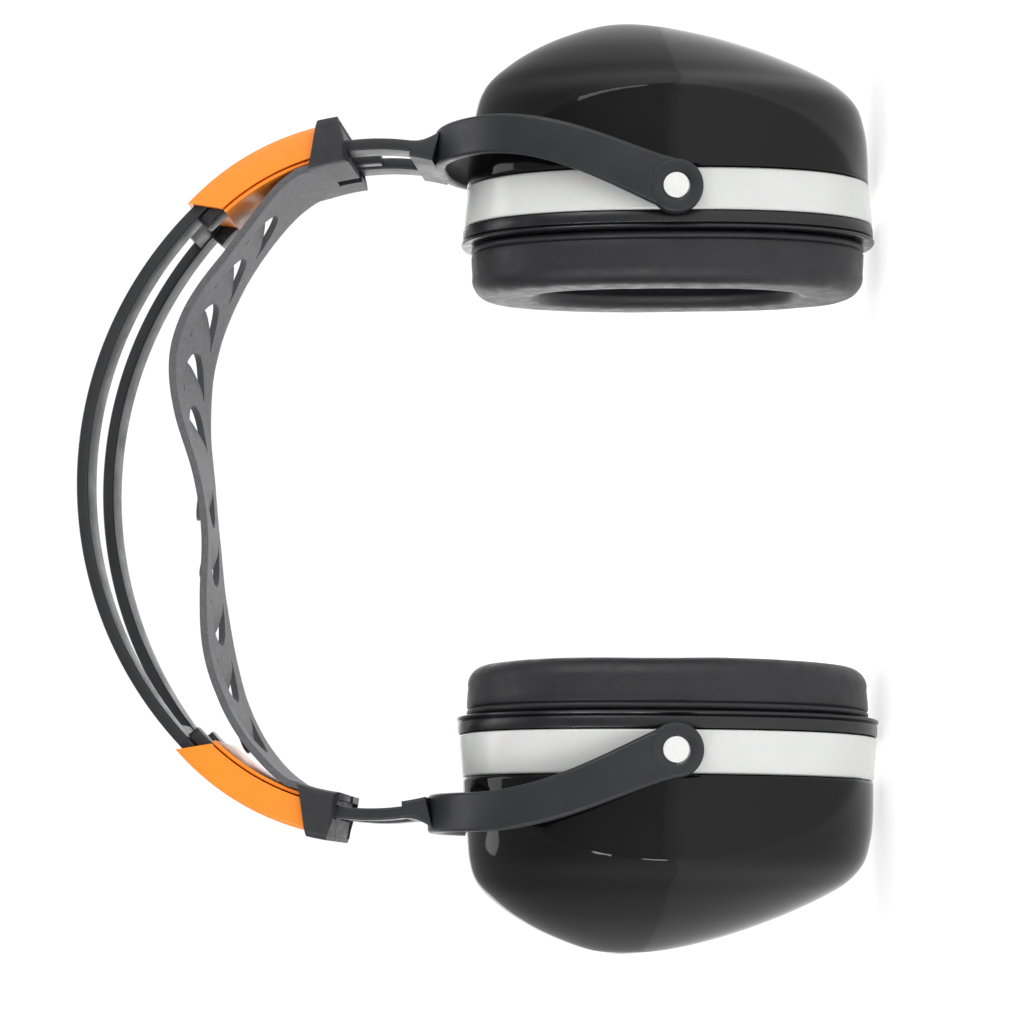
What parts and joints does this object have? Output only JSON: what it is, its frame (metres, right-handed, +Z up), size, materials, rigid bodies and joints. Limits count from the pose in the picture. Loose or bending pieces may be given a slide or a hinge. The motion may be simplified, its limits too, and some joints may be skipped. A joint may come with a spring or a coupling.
{
  "type": "earmuff hearing protector",
  "caption": "Over-the-head hearing protector: sprung twin-rail headband with soft strap, height adjusters, forked yokes and cushioned domed ear cups.",
  "frame": {"origin": "midway between the two cup pivots, on the headband's front-to-back middle plane, where the wearer's head would be", "axes": "+X towards the wearer's left cup, +Y towards the back of the head, +Z up over the head"},
  "size_m": [0.2366, 0.0814, 0.2006],
  "materials": {
    "black_satin_plastic": "satin moulded black plastic",
    "black_gloss_plastic": "high gloss black plastic",
    "white_plastic": "off-white, slightly translucent gloss plastic",
    "pin_white_plastic": "bright white plastic",
    "orange_plastic": "satin to gloss orange plastic",
    "grey_soft_rubber": "fine-grained soft dark grey elastomer",
    "black_cushion_skin": "smooth matte black soft vinyl skin",
    "grey_foam": "open-cell dark grey foam"
  },
  "bodies": {
    "headband": {"band_frame": "black_satin_plastic", "head_strap": "grey_soft_rubber", "left_slider_housing": "orange_plastic", "left_slider_cover": "orange_plastic", "left_height_catch": "black_satin_plastic", "right_slider_housing": "orange_plastic", "right_slider_cover": "orange_plastic", "right_height_catch": "black_satin_plastic"},
    "left_yoke": {"left_yoke": "black_satin_plastic"},
    "right_yoke": {"right_yoke": "black_satin_plastic"},
    "left_cup": {"left_cup_shell": "black_gloss_plastic", "left_pivot_ring": "white_plastic", "left_front_pivot_pin": "pin_white_plastic", "left_rear_pivot_pin": "pin_white_plastic", "left_base_plate": "black_satin_plastic", "left_ear_cushion": "black_cushion_skin", "left_cushion_foam": "grey_foam", "left_foam_liner": "grey_foam"},
    "right_cup": {"right_cup_shell": "black_gloss_plastic", "right_pivot_ring": "white_plastic", "right_front_pivot_pin": "pin_white_plastic", "right_rear_pivot_pin": "pin_white_plastic", "right_base_plate": "black_satin_plastic", "right_ear_cushion": "black_cushion_skin", "right_cushion_foam": "grey_foam", "right_foam_liner": "grey_foam"}
  },
  "joints": [
    {"name": "left_height_slide", "type": "hinge", "parent": "headband", "child": "left_yoke", "pos_m": [0.02542, 0, 0.07493], "axis": [0, 1, 0], "range_deg": [0, 18]},
    {"name": "right_height_slide", "type": "hinge", "parent": "headband", "child": "right_yoke", "pos_m": [-0.02542, 0, 0.07493], "axis": [0, -1, 0], "range_deg": [0, 18]},
    {"name": "left_cup_tilt", "type": "hinge", "parent": "left_yoke", "child": "left_cup", "pos_m": [0.0701, 0, 0], "axis": [-0.0732, -0.9973, 0], "range_deg": [-12, 12]},
    {"name": "right_cup_tilt", "type": "hinge", "parent": "right_yoke", "child": "right_cup", "pos_m": [-0.0701, 0, 0], "axis": [-0.0732, 0.9973, 0], "range_deg": [-12, 12]}
  ]
}
